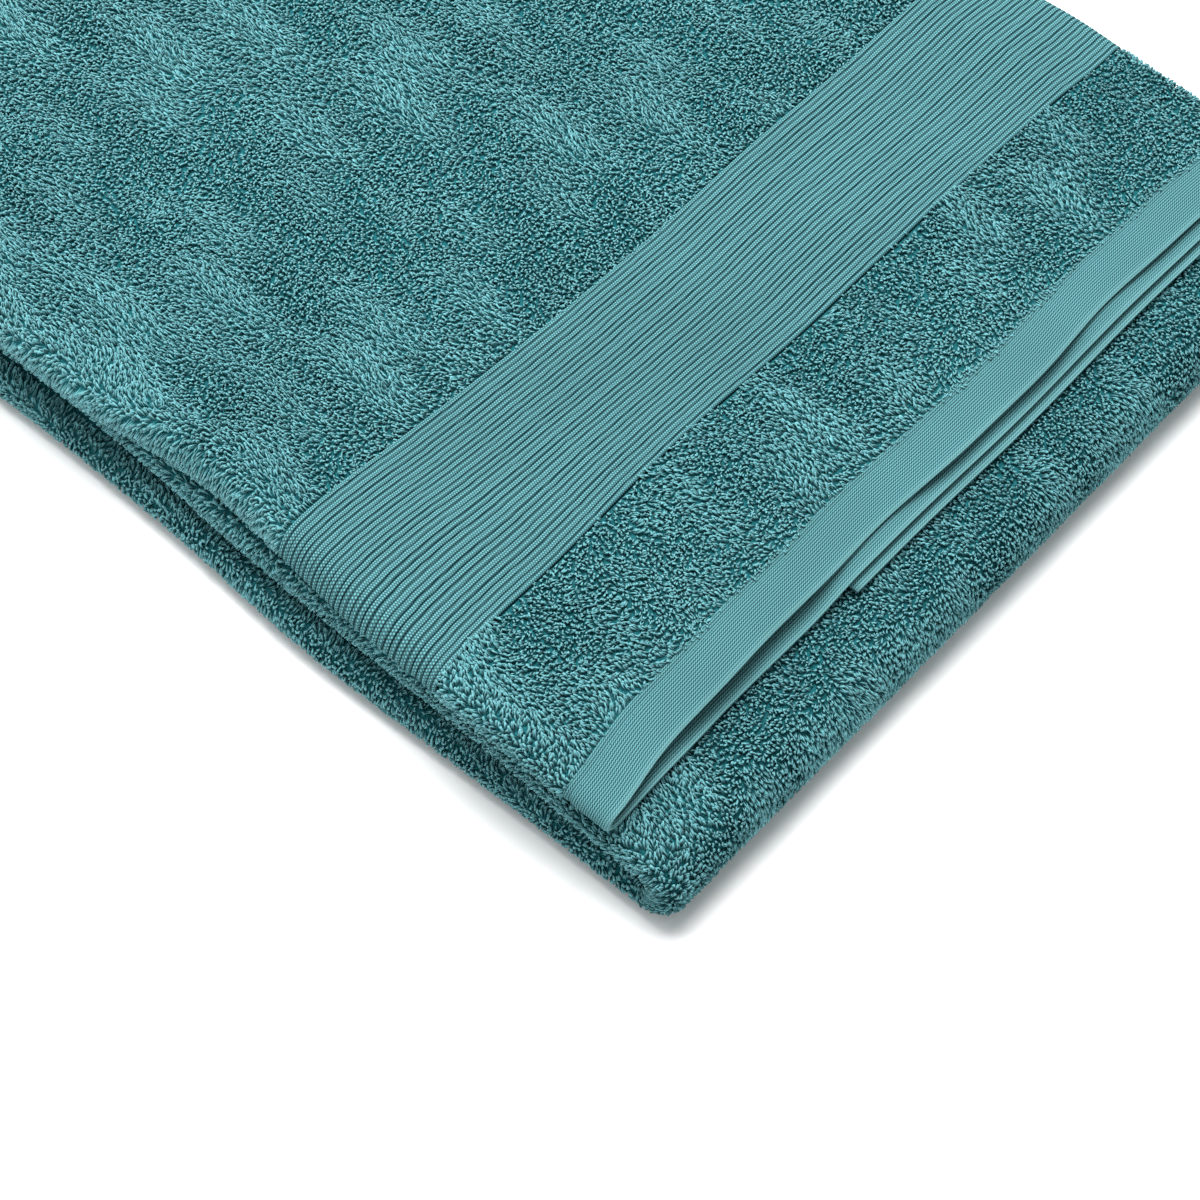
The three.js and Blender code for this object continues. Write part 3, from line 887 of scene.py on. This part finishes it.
def hem(name, outline, run, place):
    """A closed hem along a run of places: place turns the run and the distance in into u and v."""
    inward, height, girth = outline
    length, inside = np.meshgrid(run, inward, indexing="ij")
    u, v = place(length, inside)
    points = cloth_point(u.ravel(), v.ravel(), np.broadcast_to(height, u.shape).ravel())
    rings, sides = u.shape
    first = (np.arange(rings - 1) * sides)[:, None]
    around = np.arange(sides)[None, :]
    after = (around + 1) % sides
    quads = np.stack([first + around, first + sides + around, first + sides + after, first + after], -1)
    caps = np.stack([np.arange(sides), (rings - 1) * sides + np.arange(sides)[::-1]])
    piece = make_mesh(name, points, [quads.reshape(-1, 4), caps])
    # A mask for the painted highlight along the folded edge.
    add_values(piece, "fold_edge_highlight", np.broadcast_to(hump(inward, 0, 0.9 * mm), u.shape).ravel())
    # The inner edge, which closes the section, has 2 mm of the map.
    closed = np.append(girth, girth[-1] + 2 * mm)
    run_at = np.stack([0 * around + run[:-1, None], 0 * around + run[1:, None],
                       0 * around + run[1:, None], 0 * around + run[:-1, None]], -1)
    round_at = np.stack([closed[around + 0 * first], closed[around + 0 * first],
                         closed[around + 1 + 0 * first], closed[around + 1 + 0 * first]], -1)
    flat = np.stack([run_at, round_at], -1).reshape(-1, 2)
    cap_flat = np.stack([np.tile([run[0], run[-1]], (sides, 1)).T.ravel(),
                         np.concatenate([girth, girth[::-1]])], -1)
    add_map(piece, "cloth", np.concatenate([flat, cap_flat]))
    span = np.array([run[-1] - run[0], closed[-1]])
    scaled = (flat - [run[0], 0]) / span
    cap_scaled = 0 * cap_flat + [0.999, 0.999] - 0.002 * (cap_flat - cap_flat.mean(0)) / span
    add_map(piece, "OFBake", 0.003 + 0.99 * np.concatenate([scaled, cap_scaled]))
    dress(piece, hem_weave)
    return piece


end_hem_thickness = 1.7 * mm
side_hem_thickness = 1.6 * mm
stitch_inset = 2 * mm
end_run = across_steps(0, towel_width, 2.4 * mm, 0.9 * mm)
sewn_on = {}
for section, from_end in (("top", lambda inside: inside), ("middle", lambda inside: towel_length - inside)):
    outline = hem_outline(hem_length + 0.6 * mm, end_hem_thickness, stitch_inset, True)
    end_hem = hem(section + "_end_hem_cloth", outline, end_run, lambda run, inside: (run, from_end(inside)))
    if section == "middle":
        end_hem.data.flip_normals()
    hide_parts(section + "_end_hem")
    fix_to_body(end_hem, section)
    sewn_on.setdefault(section + "_strip", []).append(end_hem)

side_runs = {
    "top": (hem_length, back_start),
    "back_fold": (back_start, back_end),
    "bottom": (back_end, front_start),
    "front_fold": (front_start, front_end),
    "middle": (front_end, towel_length - hem_length),
}
sewn_to = {"top": "top_field", "back_fold": "back_fold", "bottom": "bottom", "front_fold": "bottom",
           "middle": "middle_field"}
side_outline = hem_outline(side_hem_width + 0.4 * mm, side_hem_thickness, stitch_inset, False)
for section, (start, end) in side_runs.items():
    run = steps_between(start, end, 1.6 * mm if "fold" in section else flat_step)
    for flap, from_edge in (("near_flap", lambda inside: inside),
                            ("far_flap", lambda inside: towel_width - inside)):
        side_hem = hem(f"{section}_side_hem_{flap}_cloth", side_outline, run,
                       lambda length, inside: (from_edge(inside), length))
        if flap == "near_flap":
            side_hem.data.flip_normals()
        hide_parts(f"{section}_side_hem_{flap}")
        fix_to_body(side_hem, section)
        sewn_on.setdefault(sewn_to[section], []).append(side_hem)

# ---------------------------------------------------------------- the stitching
# Every hem is held by one row of lockstitch in matching thread, about 3 mm a stitch and pulled
# down into the cloth. The thread is painted a little darker than the hem, as painted shade for the
# channel it sinks into.

stitch_length = 2.5 * mm
stitch_gap = 0.6 * mm
thread_radius = 0.2 * mm
thread_sides = 6
row_margin = 1.5 * mm
pulled_in = 0.36 * mm


def thread_material():
    material, tree, shader = new_cotton("sewing_thread", roughness=0.6, specular=0.3)
    twist = tree.nodes.new("ShaderNodeTexWave")
    twist.inputs["Scale"].default_value = 900.0
    twist.inputs["Distortion"].default_value = 1.5
    twist.bands_direction = "DIAGONAL"
    tree.links.new(tree.nodes.new("ShaderNodeTexCoord").outputs["Object"], twist.inputs["Vector"])
    # Painted shade: darker than the hem's colour, for the sunk stitch channel; the twist shows as lighter
    # and darker bands.
    colour = mix_colours(tree, twist.outputs["Fac"], (0.006, 0.07, 0.082), (0.045, 0.19, 0.21))
    tree.links.new(colour, shader.inputs["Base Color"])
    add_relief(tree, shader, twist.outputs["Fac"], 0.05 * mm)
    return material


sewing_thread = thread_material()


def stitches(name, run_start, run_end, place, surface):
    """A row of separate stitches, each a short thread that dips into the cloth at both its ends."""
    count = int((run_end - run_start) / (stitch_length + stitch_gap))
    middle = run_start + (np.arange(count) + 0.5) * (run_end - run_start) / count
    share = np.linspace(-1, 1, 7)[None, :]
    along = middle[:, None] + share * stitch_length / 2
    height = surface + thread_radius * (0.5 - 2.2 * np.abs(share) ** 3)
    sides = thread_sides
    ring = np.arange(sides) * 2 * math.pi / sides
    size = thread_radius * np.sqrt(np.clip(1.02 - share ** 4, 0.02, 1))
    aside = (size[..., None] * np.cos(ring)) + 0 * along[..., None]
    up = (height + 0 * along)[..., None] + size[..., None] * np.sin(ring)
    u, v = place(along[..., None] + 0 * aside, aside)
    points = cloth_point(u.ravel(), v.ravel(), up.ravel())
    rings = share.shape[1]
    first = (np.arange(count) * rings * sides)[:, None, None]
    step = (np.arange(rings - 1) * sides)[None, :, None]
    around = np.arange(sides)[None, None, :]
    after = (around + 1) % sides
    quads = np.stack([first + step + around, first + step + sides + around,
                      first + step + sides + after, first + step + after], -1).reshape(-1, 4)
    caps = np.concatenate([first[:, :, 0] + np.arange(sides),
                           first[:, :, 0] + (rings - 1) * sides + np.arange(sides)[::-1]])
    piece = make_mesh(name, points, [quads, caps])
    dress(piece, sewing_thread)
    return piece


end_surface = end_hem_thickness / 2 - pulled_in
side_surface = side_hem_thickness / 2 - pulled_in
for section, line in (("top", hem_length - stitch_inset),
                      ("middle", towel_length - hem_length + stitch_inset)):
    row = stitches(section + "_end_stitches", row_margin, towel_width - row_margin,
                   lambda run, aside: (run, line + aside), end_surface)
    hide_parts(section + "_end_stitching")
    fix_to_body(row, section)
    sewn_on[section + "_strip"].append(row)
for section, (start, end) in side_runs.items():
    for flap, line in (("near_flap", side_hem_width - stitch_inset),
                       ("far_flap", towel_width - side_hem_width + stitch_inset)):
        row = stitches(f"{section}_side_stitches_{flap}", start, end,
                       lambda run, aside: (line + aside, run), side_surface)
        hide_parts(f"{section}_side_stitching_{flap}")
        fix_to_body(row, section)
        sewn_on[sewn_to[section]].append(row)

# ---------------------------------------------------------------- the cloth as it was cut
# Each terry stretch of the one cloth is gathered with the pile, hems and stitches that it carries.

for stretch, ground in grounds.items():
    start, end, nodes = terry_lengths[stretch]
    carried = piles.get(stretch, []) + (piles["front_fold"] if stretch == "bottom" else [])
    carried = carried + sewn_on.get(stretch, [])
